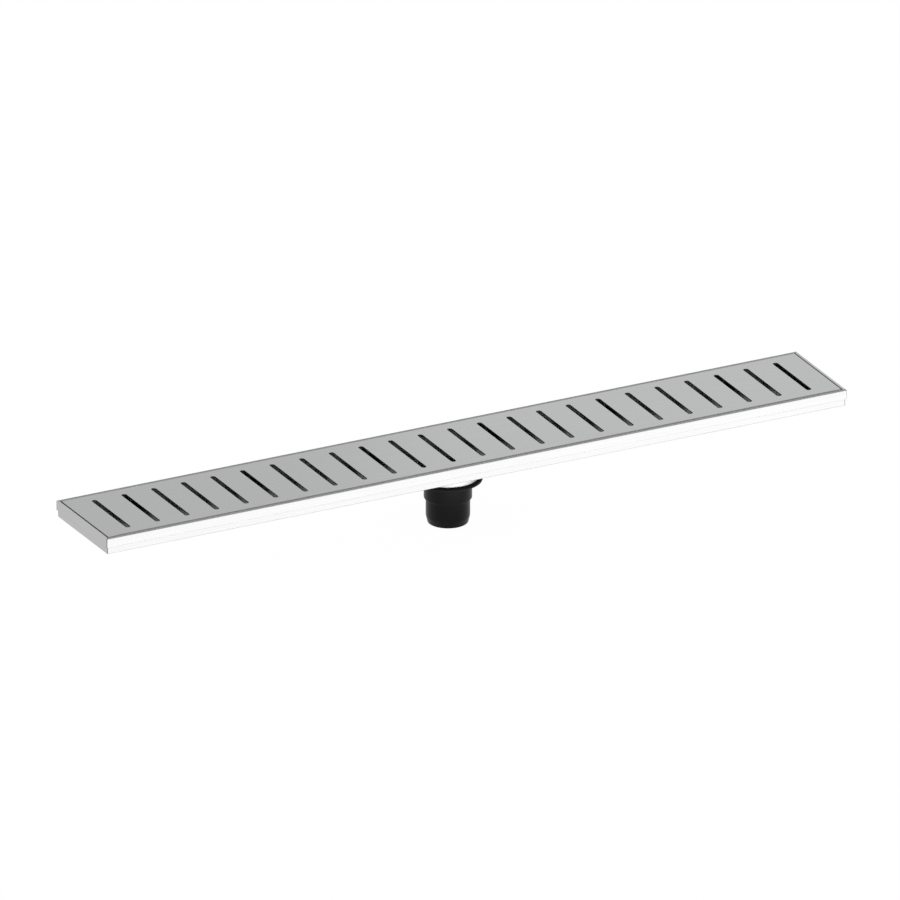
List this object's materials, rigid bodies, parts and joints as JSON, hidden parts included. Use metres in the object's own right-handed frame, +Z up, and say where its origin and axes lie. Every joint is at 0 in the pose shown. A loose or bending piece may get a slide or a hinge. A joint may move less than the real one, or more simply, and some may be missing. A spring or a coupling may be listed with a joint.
{
  "type": "linear floor drain",
  "caption": "Long shallow stainless channel drain with a slotted grate lying flush in its hemmed rim and a stepped black pipe spigot below the middle.",
  "frame": {"origin": "below the middle of the channel, level with the lower end of the outlet spigot", "axes": "+X along the channel, +Y across it, +Z up to the finished floor"},
  "size_m": [0.9, 0.12, 0.088],
  "materials": {
    "channel_steel": "satin folded sheet",
    "grate_steel": "brushed along its length",
    "strainer_steel": "bright pressed sheet",
    "black_abs": "satin moulded",
    "black_rubber": "matte"
  },
  "bodies": {
    "root": {"channel_trough": "channel_steel", "end_plate_left": "channel_steel", "end_plate_right": "channel_steel", "outlet_sump": "channel_steel", "grate": "grate_steel", "support_1": "grate_steel", "support_2": "grate_steel", "support_3": "grate_steel", "support_4": "grate_steel", "support_5": "grate_steel", "support_6": "grate_steel", "hair_strainer": "strainer_steel", "strainer_knob": "strainer_steel", "outlet_body": "black_abs", "clamp_ring": "black_abs", "lower_gasket": "black_rubber", "boot_1": "black_rubber", "boot_2": "black_rubber", "boot_3": "black_rubber", "boot_4": "black_rubber", "boot_5": "black_rubber", "boot_6": "black_rubber", "boot_7": "black_rubber", "boot_8": "black_rubber", "boot_9": "black_rubber", "boot_10": "black_rubber", "boot_11": "black_rubber", "boot_12": "black_rubber"}
  },
  "joints": []
}
